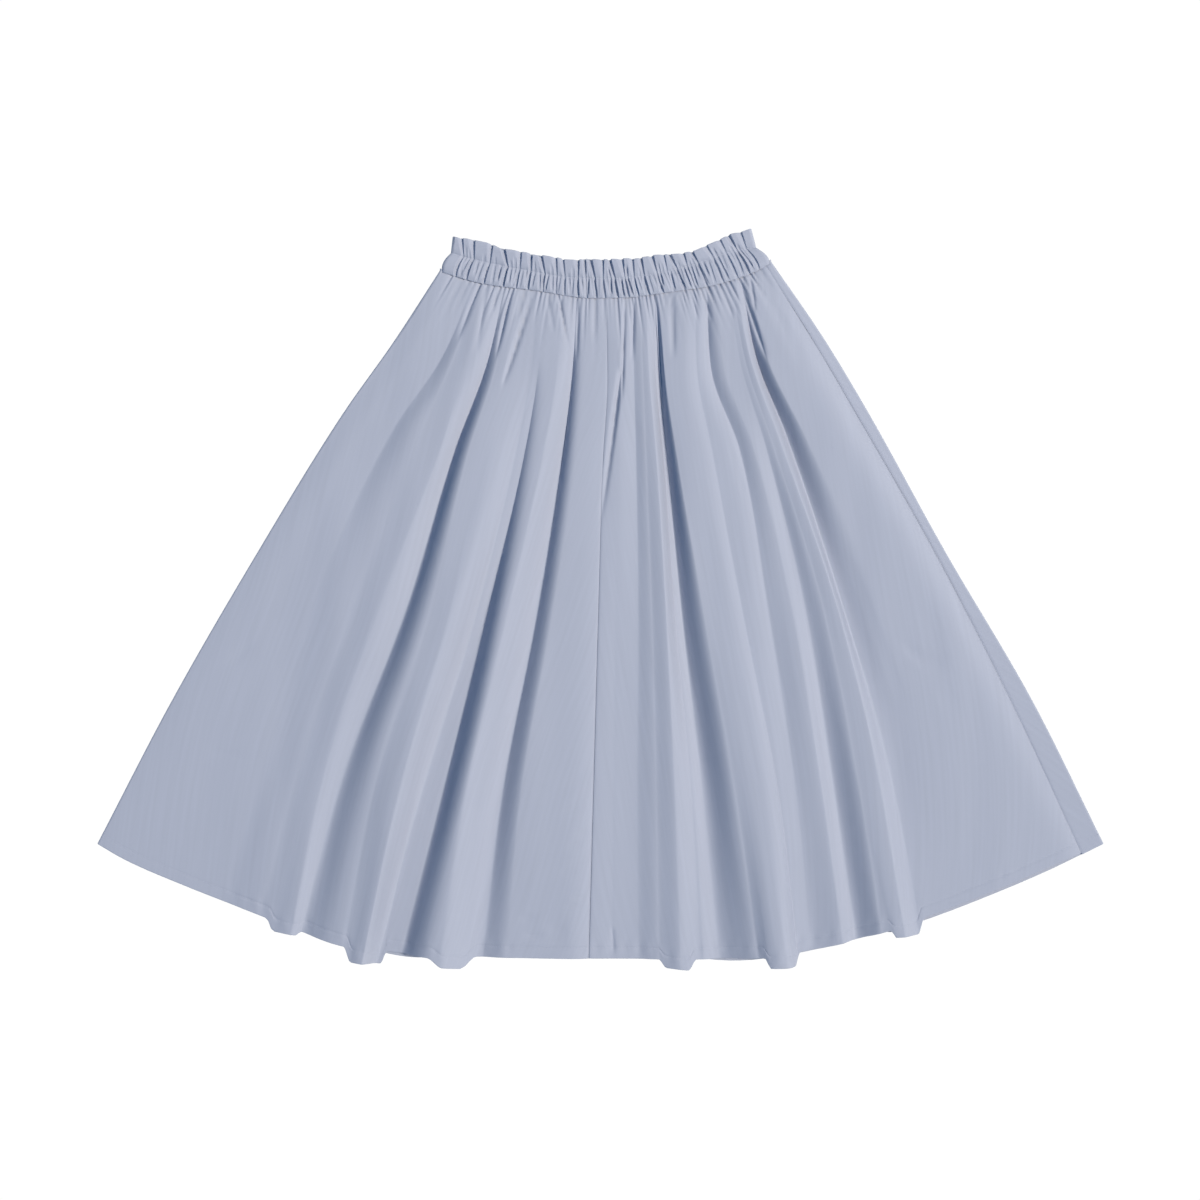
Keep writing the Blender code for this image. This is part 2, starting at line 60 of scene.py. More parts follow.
# How far the back's hem shows below the front's.
BACK_HEM = ((-502, 0), (-240, 0.5), (-190, 4), (-150, 1), (90, 0.5), (140, 3.5), (250, 1), (320, 4),
            (440, 4), (503, 0))

# Where a fold's end hangs below the hem between its neighbours: from where to where, how far at each
# end, and how soft its sides are.
Tab = namedtuple("Tab", "start end first last side")
HEM_TABS = (
    Tab(-329, -300, 11, 5, 7),
    Tab(-251, -216, 14, 13, 7),
    Tab(-164, -131, 9, 12, 16),
    Tab(62, 92, 8, 11, 8),
    Tab(166, 197, 10, 13, 6),
    Tab(291, 320, 8, 15, 6),
)

# Each line runs down a valley, a foot or a ridge, at LEVELS. left and right are how wide the walls
# are that climb from it on either side, at the waist and at the hem.
Fold = namedtuple("Fold", "name across height left right", defaults=((12, 12), (12, 12)))
FRONT_FOLDS = (
    Fold("side_left", (-146, -186, -234, -308, -372, -436), (5.3, 5.5, 5.5, 5, 4.5, 4), (12, 30), (12, 30)),
    Fold("first_valley", (-125, -158, -208, -280, -330, -376), (4.7, 5.5, 6, 6, 5, 4.4), (9, 30), (7, 30)),
    Fold("first_foot", (-117, -147, -181, -243, -297, -340), (5.1, 10, 12, 9, 8, 8), (8, 20), (12, 26)),
    Fold("first_ridge", (-106, -133, -158, -219, -273, -308), (5.3, 12, 13, 12, 11, 13)),
    Fold("second_valley", (-95, -114, -144, -194, -254, -297), (4.4, 4, 4, 4.5, 6, 7), (6, 24), (4, 20)),
    Fold("second_foot", (-90, -104, -130, -170, -222, -254), (5, 13, 20, 24, 21, 20), (8, 20), (8, 16)),
    Fold("second_ridge", (-84, -95, -112, -152, -198, -236), (5.3, 14, 20, 25, 26, 25)),
    Fold("third_left", (-62, -69, -84, -125, -175, -222), (5, 13, 14, 5.5, 4, 4), (9, 20), (9, 16)),
    Fold("third_right", (-56, -62, -76, -115, -156, -198), (5, 13, 13, 4.4, 5, 6.5), (9, 9), (3, 16)),
    Fold("third_ridge", (-41, -44, -58, -95, -133, -160), (5.3, 14, 19, 25, 28, 28)),
    Fold("fourth_valley", (-23, -28, -38, -65, -97, -117), (4.6, 5, 4.5, 4.5, 5, 9), (6, 34), (4, 14)),
    Fold("centre_left", (-12, -14, -23, -49, -78, -92), (5.3, 13, 17, 19, 18, 16)),
    Fold("front_seam", (6, 7.5, 3, -2, -6.5, -11), (5.2, 12, 15, 16, 14, 11)),
    Fold("centre_right", (20, 21, 19, 16, 14, 12), (5.3, 13, 16, 15, 13, 9.5)),
    Fold("fifth_valley", (33, 34, 36, 38, 37, 38), (4.9, 11, 14, 14, 12, 9), (9, 16), (8, 16)),
    Fold("fifth_foot", (40, 43, 46, 52, 56, 58), (5.1, 13, 17, 17, 15, 13), (8, 12), (8, 16)),
    Fold("fifth_ridge", (45, 49, 56, 66, 74, 80), (5.3, 14, 19, 20, 19, 18)),
    Fold("sixth_left", (51, 56, 64, 76, 92, 102), (4.7, 6, 5, 6, 9, 12), (4, 16), (8, 12)),
    Fold("sixth_valley", (54, 59, 67, 83, 103, 120), (4.2, 4, 4, 4.2, 4, 5.5), (5, 22), (2, 24)),
    Fold("sixth_foot", (60, 65, 77, 105, 134, 157), (5, 14, 19, 23, 22, 20), (8, 12), (8, 12)),
    Fold("sixth_ridge", (84, 82, 93, 120, 153, 181), (5.3, 14, 20, 23, 25, 28)),
    Fold("sixth_lee", (95, 97, 112, 143, 176, 197), (5.1, 11, 17, 19, 17, 10), (8, 7), (8, 12)),
    Fold("seventh_valley", (107, 111, 139, 168, 194, 211), (4.5, 6.5, 12.5, 15.5, 13, 8.5),
         (6, 14), (6, 18)),
    Fold("seventh_ridge", (119, 124, 152, 190, 218, 241), (5.3, 12, 17, 19, 17, 14)),
    Fold("eighth_valley", (128, 140, 164, 204, 231, 256), (5, 12, 15, 13, 7.5, 5.5), (10, 24), (8, 18)),
    Fold("eighth_foot", (131, 145, 171, 220, 254, 280), (5.1, 12.5, 17, 19, 19, 18), (8, 12), (8, 12)),
    Fold("eighth_ridge", (134, 150, 178, 232, 273, 302), (5.3, 13.5, 18, 21, 21, 22)),
    Fold("ninth_valley", (140, 157, 187, 239, 286, 319), (4.2, 4, 4, 6, 8, 9), (4, 20), (3, 28)),
    Fold("side_right", (152, 166, 202, 272, 336, 405), (5.3, 15, 18, 14, 11, 8), (20, 30), (12, 30)),
    Fold("right_seam", (165, 212, 255, 337, 413, 481), (5.2, 5.4, 5, 4.2, 3.7, 3.5)),
)

# The short gathers from the waist seam: where each starts and ends, across and level, the share of
# the cloth's height that it takes at its deepest, and its half width.
Crease = namedtuple("Crease", "name start end share width")
CREASES = (
    Crease("end_left", (-149, 0.0), (-157, 0.025), 0.45, 4),
    Crease("beside_end", (-136, 0.0), (-150, 0.04), 0.50, 4),
    Crease("below_end", (-131, 0.0), (-130, 0.015), 0.40, 3),
    Crease("first", (-120, 0.0), (-142, 0.095), 0.80, 5),
    Crease("behind_first", (-112, 0.0), (-124, 0.11), 0.45, 6),
    Crease("small_left", (-103, 0.0), (-107, 0.045), 0.70, 3),
    Crease("second", (-88, 0.0), (-104, 0.11), 0.85, 4),
    Crease("under_second", (-74, 0.0), (-83, 0.045), 0.70, 3),
    Crease("behind_second", (-66, 0.0), (-97, 0.15), 0.80, 4),
    Crease("soft_left", (-53, 0.0), (-46, 0.06), 0.45, 4),
    Crease("slanting", (-42, 0.0), (-31, 0.085), 0.90, 3),
    Crease("tiny", (-33, 0.0), (-32, 0.014), 0.50, 3),
    Crease("fourth", (-21.5, 0.0), (-23.5, 0.10), 0.80, 3),
    Crease("short_left", (-6, 0.0), (-6, 0.07), 0.50, 3),
    Crease("by_the_seam", (24.5, 0.0), (22, 0.16), 0.65, 3),
    Crease("long_centre", (21, 0.11), (1, 0.34), 0.50, 5),
    Crease("right_of_seam", (34, 0.0), (32, 0.10), 0.65, 4),
    Crease("beside_sixth", (51, 0.0), (56, 0.03), 0.40, 4),
    Crease("sixth", (55.5, 0.0), (66, 0.22), 0.85, 3),
    Crease("behind_sixth", (71, 0.0), (73, 0.10), 0.65, 5),
    Crease("small_right", (90, 0.0), (98, 0.05), 0.60, 4),
    Crease("soft_right", (106, 0.0), (109, 0.12), 0.50, 7),
    Crease("crisp_right", (119, 0.0), (133, 0.055), 0.75, 3),
    Crease("eighth", (138, 0.0), (166, 0.13), 0.85, 4),
    Crease("beside_eighth", (143, 0.0), (143, 0.02), 0.40, 3),
    Crease("before_end", (149, 0.0), (155, 0.055), 0.75, 3),
    Crease("end_right", (157, 0.0), (204, 0.16), 0.22, 9),
)

# Faint marks that handling left in the cloth: start and end as above, how deep, and the half width.
Mark = namedtuple("Mark", "start end depth width")
MARKS = (
    Mark((209, 0.36), (266, 0.64), 0.55, 3.0),
    Mark((244, 0.44), (303, 0.69), 0.55, 2.5),
    Mark((128, 0.23), (146, 0.33), 0.5, 2.5),
    Mark((-222, 0.80), (20, 0.722), 0.35, 4.0),
    Mark((-30, 0.74), (-14, 0.71), 0.8, 3.0),
    Mark((-34, 0.79), (-15, 0.755), 0.9, 3.0),
    Mark((-27, 0.84), (-13, 0.80), 0.8, 3.5),
    Mark((-38, 0.88), (-16, 0.845), 0.9, 3.5),
    Mark((-30, 0.93), (-15, 0.90), 0.7, 3.0),
    Mark((-75, 0.93), (-62, 0.99), 0.8, 4.0),
    Mark((-40, 0.94), (-44, 0.995), 0.7, 4.0),
    Mark((12, 0.95), (14, 0.995), 0.6, 4.0),
    Mark((300, 0.60), (338, 0.66), 0.8, 7.0),
    Mark((322, 0.55), (352, 0.74), 0.7, 8.0),
    Mark((-345, 0.62), (-372, 0.66), 0.6, 5.0),
    Mark((-395, 0.80), (-352, 0.78), 0.4, 6.0),
)
MARK_STRENGTH = 1.9  # of them all together

# The gathers that the waistband draws up, along its stitching: how deep, how far the frill's fold
# slants over to its upper edge, and how far the frill stands up between this gather and the next.
Gather = namedtuple("Gather", "across depth slant peak")
GATHERS = tuple(Gather(*row) for row in (
    (-137, 0.7, -3, 0.6), (-127, 0.9, -1, 0.2), (-111, 0.8, 2, 0.0), (-93, 1.0, -4, 0.8), (-81, 0.7, 1, 0.3),
    (-70, 0.9, 1, -0.6), (-56, 0.9, -3, 1.0), (-44, 0.7, 0, 0.4), (-36, 0.6, -1, -0.5), (-23, 0.8, 2, 0.2),
    (-15, 0.8, 1, 0.5), (-6, 1.0, -3, 0.0), (2, 0.7, 2, 0.3), (14, 1.0, -3, 0.6), (24, 0.8, -1, 0.9),
    (33, 0.7, 1, -0.3), (43, 0.9, 0, 0.5), (56, 0.9, -2, 1.1), (66, 0.5, 0, 0.6), (76, 1.0, -4, 0.3),
    (86, 0.7, 0, 0.9), (97, 1.0, -2, 0.2), (112, 0.7, -3, 0.6), (125, 0.6, -2, 0.4), (136, 1.0, -4, 1.0),
    (145, 0.6, -1, 0.4),
))
CASING_ENDS = (-158.0, 170.0)
STITCH_ENDS = (-149.0, 156.0)


def smooth(places, values, at):
    """A curve through points that never swings past them."""
    places, values, at = (np.asarray(a, float) for a in (places, values, at))
    steps = np.diff(places)
    slopes = np.diff(values) / steps
    tangents = np.concatenate([slopes[:1], (slopes[:-1] + slopes[1:]) / 2, slopes[-1:]])
    tangents[1:-1][slopes[:-1] * slopes[1:] <= 0] = 0
    limit = 3 * np.minimum(np.abs(np.append(slopes, slopes[-1])), np.abs(np.insert(slopes, 0, slopes[0])))
    tangents = np.clip(tangents, -limit, limit)
    i = np.clip(np.searchsorted(places, at, side="right") - 1, 0, len(steps) - 1)
    t = np.clip((at - places[i]) / steps[i], 0, 1)
    return (
        values[i] * (1 + 2 * t) * (1 - t) ** 2
        + values[i + 1] * t * t * (3 - 2 * t)
        + steps[i] * t * (1 - t) * (tangents[i] * (1 - t) - tangents[i + 1] * t)
    )


def along(points, across):
    """How far up the view a plan curve runs at a place across."""
    places, heights = zip(*points)
    return smooth(places, heights, across)


def hem_drop(place):
    """How far the folds' ends hang below the hem at a place along it."""
    drop = np.zeros_like(np.asarray(place, float))
    for tab in HEM_TABS:
        depth = np.interp(place, (tab.start, tab.end), (tab.first, tab.last))
        inside = np.minimum(place - tab.start, tab.end - place) / tab.side
        inside = np.clip(inside + 0.5, 0, 1)  # half at the tab's own ends
        drop = np.maximum(drop, depth * inside * inside * (3 - 2 * inside))
    return drop


HEM_PULL = 5  # with a higher power, a fold's end pulls less of the cloth above the hem


def seen_from_above(across, level, back=0.0):
    """How far up the view each point of the skirt lies, on a line from the waist seam to the hem."""
    left, right = smooth(LEVELS, LEFT_EDGE, level), smooth(LEVELS, RIGHT_EDGE, level)
    share = np.clip((across - left) / (right - left), 0, 1)
    top = along(WAIST_SEAM, LEFT_EDGE[0] + share * (RIGHT_EDGE[0] - LEFT_EDGE[0]))
    place = LEFT_EDGE[-1] + share * (RIGHT_EDGE[-1] - LEFT_EDGE[-1])
    bottom = along(HEM, place) - back * along(BACK_HEM, place)
    pulled = (1 - back) * hem_drop(place) * np.clip(level, 0, 1) ** HEM_PULL
    return top + level * (bottom - top) - pulled


WALL_SHARE = (0.08, 0.7)  # the least and the most that a wall takes of a fold's side
ABOVE_WALL = 0.2  # the share of the rise that is left to the crest
CROWN = (1.6, 9)  # the softest and the sharpest turn from a wall to its crest
WIDE_WALL = 6  # a wider wall starts softly too
SOFTEST_AFTER, SOFTEST = 14, 0.9  # how much wider the softest start comes, and how soft it is


def climb(t, wall, span):
    """The rise, 0 to 1, from a low line to a high one: most of it lies within the wall's width."""
    reach = np.clip(wall / span, *WALL_SHARE)
    crown = np.clip(math.log(ABOVE_WALL) / np.log(1 - reach), *CROWN)
    foot = 1 + np.clip((wall - WIDE_WALL) / SOFTEST_AFTER, 0, SOFTEST)
    return (1 - (1 - np.clip(t, 0, 1)) ** crown) ** foot


CREASE_FLOOR = 2.6  # no crease is pressed lower
CREASE_OPENS = 12  # how fast a crease deepens from its start
WAIST_HALF, WAIST_DEPTH = 2.1, 3.0  # half width and depth of the casing's gathers below the seam
WAIST_REACH, DEEP_REACH, UNEVEN_REACH = 8, 14, 9  # how far down: all, the deep ones more, and unevenly
HEM_WIDTH = 10
HEM_STITCHING = 10.5  # above the hem's edge
PUCKER, PUCKER_WAVE, PUCKER_HALF = 0.26, 2.3, 7  # the small waves along the hem
PULLED_IN, PULLED_HALF = 0.42, 1.2  # the groove that its stitches pull
HEM_LIFTS = (3, 7)  # cloth this low shows neither, and this high shows both in full
TUCK, TUCK_REACH = 2.0, 1.6  # how far the cloth dips into the waist seam, and over what length


def gathered(across, level, height):
    """The height with the short creases, the marks, the casing's gathers and the hem's stitching."""
    for crease in CREASES:
        near, part = beside(crease, across, level)
        fade = np.where((part > 0) & (part < 1), 1 - np.clip(part, 0, 1) ** 2, 0)
        fade = fade * np.clip(0.5 + CREASE_OPENS * (level - crease.start[1]), 0, 1)
        height = height - (height - CREASE_FLOOR) * crease.share * fade * near**2
    for mark in MARKS:
        near, part = beside(mark, across, level)
        shown = np.clip(4 * part, 0, 1) * np.clip(4 - 4 * part, 0, 1)
        height = height - MARK_STRENGTH * mark.depth * near**2 * shown
    left, right = smooth(LEVELS, LEFT_EDGE, level), smooth(LEVELS, RIGHT_EDGE, level)
    share = (across - left) / (right - left)
    at_waist = CASING_ENDS[0] + share * (CASING_ENDS[1] - CASING_ENDS[0])
    down = np.clip(level, 0, 1) * SKIRT_LENGTH
    for i, (place, depth) in enumerate(casing_gathers()):
        near = np.clip(1 - np.abs((at_waist - place) / WAIST_HALF), 0, 1) ** 1.3
        reach = WAIST_REACH + DEEP_REACH * depth + UNEVEN_REACH * math.sin(2.3 * i)
        height = height - WAIST_DEPTH * depth * near * np.exp(-((down / reach) ** 1.5))
    above_hem = SKIRT_LENGTH - down
    pucker = PUCKER * np.sin(across / PUCKER_WAVE)
    pucker = pucker * np.exp(-(((above_hem - HEM_WIDTH) / PUCKER_HALF) ** 2))
    pulled_in = PULLED_IN * np.exp(-(((above_hem - HEM_STITCHING) / PULLED_HALF) ** 2))
    lifted = np.interp(height, HEM_LIFTS, (0, 1))
    return height + (pucker - pulled_in) * lifted - TUCK * np.exp(-down / TUCK_REACH)


def beside(line, across, level):
    """How near each place is to a line, 0 to 1, and how far along it."""
    (x0, v0), (x1, v1) = line.start, line.end
    ups = (level - v0) * SKIRT_LENGTH
    run, drop = x1 - x0, (v1 - v0) * SKIRT_LENGTH
    length = math.hypot(run, drop)
    part = ((across - x0) * run + ups * drop) / length**2
    off = ((across - x0) * drop - ups * run) / length
    return np.clip(1 - np.abs(off / line.width), 0, 1), part


WIDE_GAP = 9  # the least gap between two gathers that holds two finer ones


def casing_gathers():
    """The casing's gathers along its lower edge: those of the frill, and finer ones between them."""
    places = []
    for here, there in zip(GATHERS, GATHERS[1:]):
        places.append((here.across, here.depth))
        gap = there.across - here.across
        for part in (0.5,) if gap < WIDE_GAP else (0.35, 0.68):
            places.append((here.across + part * gap, 0.6 + 0.25 * math.sin(here.across + 9 * part)))
    places.append((GATHERS[-1].across, GATHERS[-1].depth))
    spread = (CASING_ENDS[1] - CASING_ENDS[0]) / (STITCH_ENDS[1] - STITCH_ENDS[0])
    return [(CASING_ENDS[0] + spread * (place - STITCH_ENDS[0]), depth) for place, depth in places]


def unevenness(across, up):
    """The slight waviness that handled cloth keeps: waves of several lengths, one over the other."""
    return (
        0.34 * np.sin(across / 23 + up / 90)
        + 0.26 * np.sin(across / 11 - up / 140 + 1.0)
        + 0.45 * np.sin(up / 57 + across / 160 + 2.0) * np.sin(across / 71)
        + 0.10 * np.sin(across / 6.1 + up / 300 + 0.6)
        + 0.16 * np.sin(up / 19 - across / 47) * np.sin(across / 37 + up / 83)
    )


def crowded(t, by):
    """Steps from 0 to 1, drawn closer together at both ends."""
    return t - by * np.sin(2 * math.pi * t) / (2 * math.pi)


STEPS_PER_FOLD = 14
FOLD_CROWDING = 0.55  # towards its two lines


def cross_lines(levels, folds):
    """The front at each level: its points' places across and heights, and each line's column."""
    edge = smooth(LEVELS, EDGE_HEIGHT, levels)
    lines = [(smooth(LEVELS, LEFT_EDGE, levels) + edge / 2, edge)]
    lines += [(smooth(LEVELS, f.across, levels), smooth(LEVELS, f.height, levels)) for f in folds]
    lines.append((smooth(LEVELS, RIGHT_EDGE, levels) - edge / 2, edge))
    walls = [Fold("left_fold", (), ())] + list(folds) + [Fold("right_fold", (), ())]
    xs, zs, columns = [], [], {}
    for i, ((x0, z0), (x1, z1)) in enumerate(zip(lines, lines[1:])):
        columns[walls[i].name] = len(xs)
        low_right = walls[i].right[0] + (walls[i].right[1] - walls[i].right[0]) * levels
        low_left = walls[i + 1].left[0] + (walls[i + 1].left[1] - walls[i + 1].left[0]) * levels
        rising = z0 < z1
        step = np.abs(z1 - z0)
        for j in range(STEPS_PER_FOLD):
            t = crowded(j / STEPS_PER_FOLD, FOLD_CROWDING)
            rise = climb(np.where(rising, t, 1 - t), np.where(rising, low_right, low_left), x1 - x0)
            xs.append(x0 + (x1 - x0) * t)
            zs.append(np.minimum(z0, z1) + step * rise)
    columns[walls[-1].name] = len(xs)
    xs.append(lines[-1][0])
    zs.append(lines[-1][1])
    return np.array(xs).T, np.array(zs).T, columns


TURN_STEPS = 9


def side_turn(levels, side):
    """The round fold at a side edge, from the top to the underside: across and height."""
    radius = smooth(LEVELS, EDGE_HEIGHT, levels) / 2
    edge = smooth(LEVELS, RIGHT_EDGE if side > 0 else LEFT_EDGE, levels)
    angles = np.radians(np.linspace(0, 180, TURN_STEPS + 2)[1:])
    xs = [edge - side * radius * (1 - math.sin(a)) for a in angles]
    zs = [radius * (1 + math.cos(a)) for a in angles]
    return np.array(xs).T, np.array(zs).T


def laid_points(xs, zs, levels, back=0.0):
    """Points of a panel in metres, from its places across and its heights."""
    ups = seen_from_above(xs, levels[:, None], back)
    return np.stack([xs + MIDDLE[0], ups + MIDDLE[1], zs], axis=2) * MM


def facing(points):
    """Unit normals of a panel's points, out of the cloth."""
    normal = np.cross(np.gradient(points, axis=0), np.gradient(points, axis=1))
    return normal / np.linalg.norm(normal, axis=2, keepdims=True)


HEM_TURN = 0.6  # the radius of the fold at the hem's edge


def turned_hem(points):
    """The panel's points with its hem folded up on the inside."""
    turn = HEM_TURN * MM
    normal = facing(points)
    down = points[-1] - points[-2]
    down /= np.linalg.norm(down, axis=1, keepdims=True)
    rows = [points]
    for angle in np.radians((45, 90, 135, 180)):
        out = turn * math.sin(angle)
        rows.append((points[-1] + down * out - normal[-1] * turn * (1 - math.cos(angle)))[None])
    lengths = np.linalg.norm(points[-1] - points[::-1], axis=2).mean(axis=1)
    for want in np.linspace(0, HEM_WIDTH * MM, 5)[1:]:
        r = len(points) - 1 - int(np.searchsorted(lengths, want))
        rows.append((points[r] - 2 * turn * normal[r])[None])
    return np.concatenate(rows)


CLOTH_THICKNESS = 0.4


def cloth_piece(name, points, material):
    """A sheet of cloth as an object: a grid bent to the panel's points, with the cloth's thickness."""
    rows, columns = points.shape[:2]
    mesh = bmesh.new()
    bmesh.ops.create_grid(mesh, x_segments=columns - 1, y_segments=rows - 1, size=1)
    flat = points[::-1].reshape(-1, 3)
    for vert, point in zip(mesh.verts, flat):
        vert.co = point
    across = np.cumsum(np.linalg.norm(np.diff(points, axis=1, prepend=points[:, :1]), axis=2), axis=1)
    across -= across[:, columns // 2, None]
    down = np.cumsum(np.linalg.norm(np.diff(points, axis=0, prepend=points[:1]), axis=2), axis=0)
    on_cloth = np.stack([across, -down], axis=2)[::-1].reshape(-1, 2)
    layer = mesh.loops.layers.uv.new("cloth")
    mesh.verts.index_update()
    for face in mesh.faces:
        face.smooth = True
        for corner in face.loops:
            corner[layer].uv = on_cloth[corner.vert.index]
    data = bpy.data.meshes.new(name)
    mesh.to_mesh(data)
    mesh.free()
    piece = bpy.data.objects.new(name, data)
    bpy.context.scene.collection.objects.link(piece)
    data.materials.append(material)
    wall = piece.modifiers.new("cloth thickness", "SOLIDIFY")
    wall.thickness = CLOTH_THICKNESS * MM
    wall.offset = -1
    return piece


COTTON_BLUE = (0.392, 0.42, 0.505)
STREAKS = (0.94, 1.06)  # how dark and how light the warp's faint streaks are


def cotton(name):
    """Plain-woven cotton: fine threads both ways, faint streaks along the warp, a soft bloom."""
    material = bpy.data.materials.new(name)
    material.use_nodes = True
    nodes, links = material.node_tree.nodes, material.node_tree.links
    shader = nodes["Principled BSDF"]
    shader.inputs["Roughness"].default_value = 0.82
    shader.inputs["Specular IOR Level"].default_value = 0.25
    shader.inputs["Sheen Weight"].default_value = 0.12
    shader.inputs["Sheen Roughness"].default_value = 0.45
    cloth = nodes.new("ShaderNodeUVMap")
    cloth.uv_map = "cloth"

    threads = []
    for direction in ("X", "Y"):
        wave = nodes.new("ShaderNodeTexWave")
        wave.bands_direction = direction
        wave.inputs["Scale"].default_value = 640
        wave.inputs["Distortion"].default_value = 0.6
        links.new(cloth.outputs["UV"], wave.inputs["Vector"])
        threads.append(wave)
    weave = nodes.new("ShaderNodeMath")
    weave.operation = "MULTIPLY"
    for socket, wave in enumerate(threads):
        links.new(wave.outputs["Fac"], weave.inputs[socket])

    stretched = nodes.new("ShaderNodeMapping")
    stretched.inputs["Scale"].default_value = (260, 9, 1)
    links.new(cloth.outputs["UV"], stretched.inputs["Vector"])
    streaks = nodes.new("ShaderNodeTexNoise")
    streaks.inputs["Scale"].default_value = 1
    streaks.inputs["Detail"].default_value = 3
    links.new(stretched.outputs["Vector"], streaks.inputs["Vector"])
    shade = nodes.new("ShaderNodeMix")
    shade.data_type = "RGBA"
    for socket, share in zip("AB", STREAKS):
        shade.inputs[socket].default_value = (*(share * c for c in COTTON_BLUE), 1)
    links.new(streaks.outputs["Fac"], shade.inputs["Factor"])
    links.new(shade.outputs["Result"], shader.inputs["Base Color"])

    bump = nodes.new("ShaderNodeBump")
    bump.inputs["Strength"].default_value = 0.5
    bump.inputs["Distance"].default_value = 0.00006
    links.new(weave.outputs["Value"], bump.inputs["Height"])
    links.new(bump.outputs["Normal"], shader.inputs["Normal"])
    return material


SEAM_DROP, SEAM_ROLL = 0.4, 1.1  # how far a panel's edge drops into its seam, and over what width


def seam_groove(points, column):
    """Rolls a panel's edge down into its seam."""
    edge = points[:, column][:, None]
    away = np.linalg.norm(points - edge, axis=2)
    near = np.exp(-((away / (SEAM_ROLL * MM)) ** 2))
    return points - facing(points) * (SEAM_DROP * MM * near)[..., None]


WAVES_LIFT = (3.2, 6.2)  # cloth this low has no waviness, and this high has it all


def handled(points):
    """The cloth with its slight waviness, which dies away towards the side edges."""
    across, up = points[..., 0] / MM, points[..., 1] / MM
    soft = np.interp(points[..., 2] / MM, WAVES_LIFT, (0, 1))
    points = points.copy()
    points[..., 2] += unevenness(across, up) * soft * MM
    return points


ROWS_DOWN = 190
ROW_CROWDING = 0.75  # towards the waist seam and the hem
TUCKED_LEVELS = (-0.0036, -0.0018)  # two rows under the waistband
levels = np.concatenate([TUCKED_LEVELS, crowded(np.linspace(0, 1, ROWS_DOWN), ROW_CROWDING)])
xs, zs, columns = cross_lines(levels, FRONT_FOLDS)
zs = gathered(xs, levels[:, None], zs)
front = handled(laid_points(xs, zs, levels))

# The left panel's edge folds round to the underside, up to the left side seam.
UNDER_STEPS = 6
PAST_ROUND = 0.5  # the least that the seam lies past the edge's round
turn_xs, turn_zs = side_turn(levels, -1)
seam_in = smooth(LEVELS, LEFT_EDGE, levels) + np.maximum(
    smooth(LEVELS, LEFT_SEAM_IN, levels), smooth(LEVELS, EDGE_HEIGHT, levels) / 2 + PAST_ROUND
)
under = np.linspace(seam_in, turn_xs[:, -1], UNDER_STEPS, axis=1)[:, :-1]
left_xs = np.concatenate([under, turn_xs[:, ::-1]], axis=1)
left_zs = np.concatenate([np.zeros_like(under), turn_zs[:, ::-1]], axis=1)
left_turn = laid_points(left_xs, left_zs, levels)

seam_column, right_column = columns["front_seam"], columns["right_seam"]
left_points = np.concatenate([left_turn, front[:, : seam_column + 1]], axis=1)
left_points = seam_groove(left_points, -1)
right_points = seam_groove(seam_groove(front[:, seam_column : right_column + 1], 0), -1)

front_left = cloth_piece("front_left_panel", turned_hem(left_points), cotton("cotton front left"))
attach(front_left, "root")
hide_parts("front_left")

front_right = cloth_piece("front_right_panel", turned_hem(right_points), cotton("cotton front right"))
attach(front_right, "root")
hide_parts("front_right")

# The back panel
# One flared panel of the same cotton. Its right edge folds round to the top and is seamed to the
# front a little way in. It lies flat on the surface, and its own folds stand up inside the front's.

# The back's own folds: the two lines of the front that each stands between, and at LEVELS how much of
# the height there it takes, and half its width.
Flute = namedtuple("Flute", "start end share half")
FLUTES = (
    Flute("first_foot", "first_ridge", (0, 0, 0, 0.3, 0.5, 0.7), (3, 4, 5, 7, 9, 9)),
    Flute("second_foot", "second_ridge", (0, 0.1, 0.3, 0.5, 0.6, 0.7), (3, 4, 6, 10, 14, 7)),
    Flute("third_right", "third_ridge", (0, 0.1, 0.3, 0.5, 0.5, 0.6), (3, 4, 6, 9, 9, 9)),
    Flute("centre_left", "centre_right", (0, 0.1, 0.3, 0.5, 0.5, 0.4), (3, 4, 8, 14, 18, 18)),
    Flute("fifth_foot", "fifth_ridge", (0, 0.1, 0.3, 0.4, 0.5, 0.7), (2, 2, 4, 8, 8, 7)),
    Flute("sixth_foot", "sixth_ridge", (0, 0.1, 0.3, 0.4, 0.6, 0.8), (3, 3, 5, 5, 8, 6)),
    Flute("seventh_valley", "seventh_ridge", (0, 0.1, 0.3, 0.5, 0.5, 0.5), (3, 4, 6, 8, 10, 10)),
    Flute("eighth_foot", "eighth_ridge", (0, 0.1, 0.3, 0.5, 0.6, 0.75), (2, 2, 5, 8, 9, 7)),
)
BACK_ROOM = 4.0  # between a fold of the front and the back's own inside it
BACK_GATHER = 1.3  # how high its gathers stand just below the waist seam
BACK_GATHER_FULL, BACK_GATHER_ENDS = 0.03, 0.12  # the levels where they stand highest and end
BACK_SEAM_GAP = 0.3
BACK_TUCK = 2.2  # how far its waist rises into the waist seam
FLAT_STEPS, FLUTE_STEPS, LAST_STEPS = 9, 13, 13  # across a flat part, a fold and the last flat part


